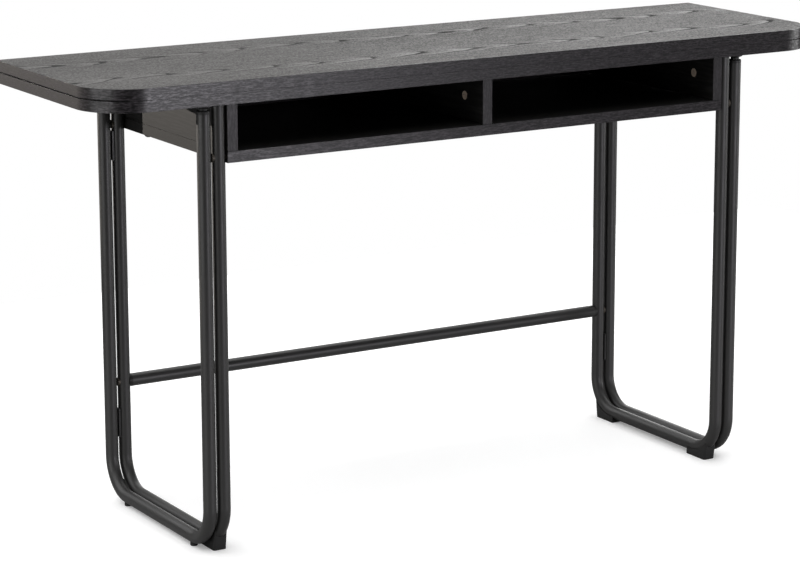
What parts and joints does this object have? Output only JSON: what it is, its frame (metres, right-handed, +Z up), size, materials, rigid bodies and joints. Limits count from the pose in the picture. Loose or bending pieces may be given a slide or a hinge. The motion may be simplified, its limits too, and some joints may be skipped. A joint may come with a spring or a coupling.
{
  "type": "extending dining table",
  "caption": "Slim console table that doubles in depth: a fold-over leaf on a shallow open box, with steel gate frames that swing out behind to carry it.",
  "frame": {"origin": "on the floor under the middle of the folded table", "axes": "+X to the right along the table, +Y to the back (hinge edge), +Z up"},
  "size_m": [1.4, 0.4, 0.768],
  "materials": {
    "stained_top": "black-stained open grain",
    "edging": "fine lengthwise streaks",
    "box_board": "dark wood grain",
    "black_tube": "satin black powder coat",
    "black_fastener": "black oxide",
    "black_plastic": "fine moulded texture",
    "zinc_fitting": "zinc plate",
    "dowel_wood": "raw beech",
    "bumper_rubber": "soft"
  },
  "bodies": {
    "table": {"lower_leaf": "stained_top", "lower_edging": "edging", "leaf_bumpers": "bumper_rubber", "box_bottom": "box_board", "box_left_end": "box_board", "box_right_end": "box_board", "box_divider": "box_board", "box_back": "box_board", "box_dowels": "dowel_wood", "box_screws": "black_fastener", "cam_locks": "zinc_fitting", "cam_bolts": "zinc_fitting", "insert_nuts": "zinc_fitting", "frame_left": "black_tube", "frame_right": "black_tube", "frame_plugs": "black_plastic", "box_bolts": "zinc_fitting", "stretcher": "black_tube", "stretcher_plugs": "black_plastic", "stretcher_bolts": "zinc_fitting", "foot_left_front": "black_plastic", "foot_left_back": "black_plastic", "foot_right_front": "black_plastic", "foot_right_back": "black_plastic", "foot_screws": "black_fastener", "hinge_plates_left": "black_tube", "hinge_plates_right": "black_tube", "gate_hinge_pins": "zinc_fitting", "fixed_hinge_screws": "black_fastener", "leaf_hinge_left": "zinc_fitting", "leaf_hinge_middle": "zinc_fitting", "leaf_hinge_right": "zinc_fitting", "leaf_hinge_screws": "zinc_fitting", "leaf_hinge_pins": "zinc_fitting"},
    "hinge_links": {"link_left": "zinc_fitting", "link_middle": "zinc_fitting", "link_right": "zinc_fitting"},
    "folding_leaf": {"upper_leaf": "stained_top", "upper_edging": "edging", "flap_hinge_left": "zinc_fitting", "flap_hinge_middle": "zinc_fitting", "flap_hinge_right": "zinc_fitting", "flap_hinge_screws": "zinc_fitting", "flap_hinge_pins": "zinc_fitting"},
    "left_gate": {"gate_left": "black_tube", "gate_left_glides": "black_plastic", "gate_left_caps": "black_plastic", "gate_left_pads": "black_plastic", "gate_left_hinge_plates": "black_tube", "gate_left_screws": "black_fastener"},
    "right_gate": {"gate_right": "black_tube", "gate_right_glides": "black_plastic", "gate_right_caps": "black_plastic", "gate_right_pads": "black_plastic", "gate_right_hinge_plates": "black_tube", "gate_right_screws": "black_fastener"}
  },
  "joints": [
    {"name": "link_turn", "type": "hinge", "parent": "table", "child": "hinge_links", "pos_m": [0, 0.1974, 0.7465], "axis": [-1, 0, 0], "range_deg": [0, 90]},
    {"name": "leaf_fold", "type": "hinge", "parent": "hinge_links", "child": "folding_leaf", "pos_m": [0, 0.1974, 0.7525], "axis": [-1, 0, 0], "range_deg": [0, 90]},
    {"name": "left_gate_swing", "type": "hinge", "parent": "table", "child": "left_gate", "pos_m": [-0.5037, 0.1965, 0.371], "axis": [0, 0, -1], "range_deg": [0, 180]},
    {"name": "right_gate_swing", "type": "hinge", "parent": "table", "child": "right_gate", "pos_m": [0.5037, 0.1965, 0.371], "axis": [0, 0, 1], "range_deg": [0, 180]}
  ],
  "couplings": [
    {"joint": "link_turn", "follows": "leaf_fold", "ratio": 1}
  ]
}
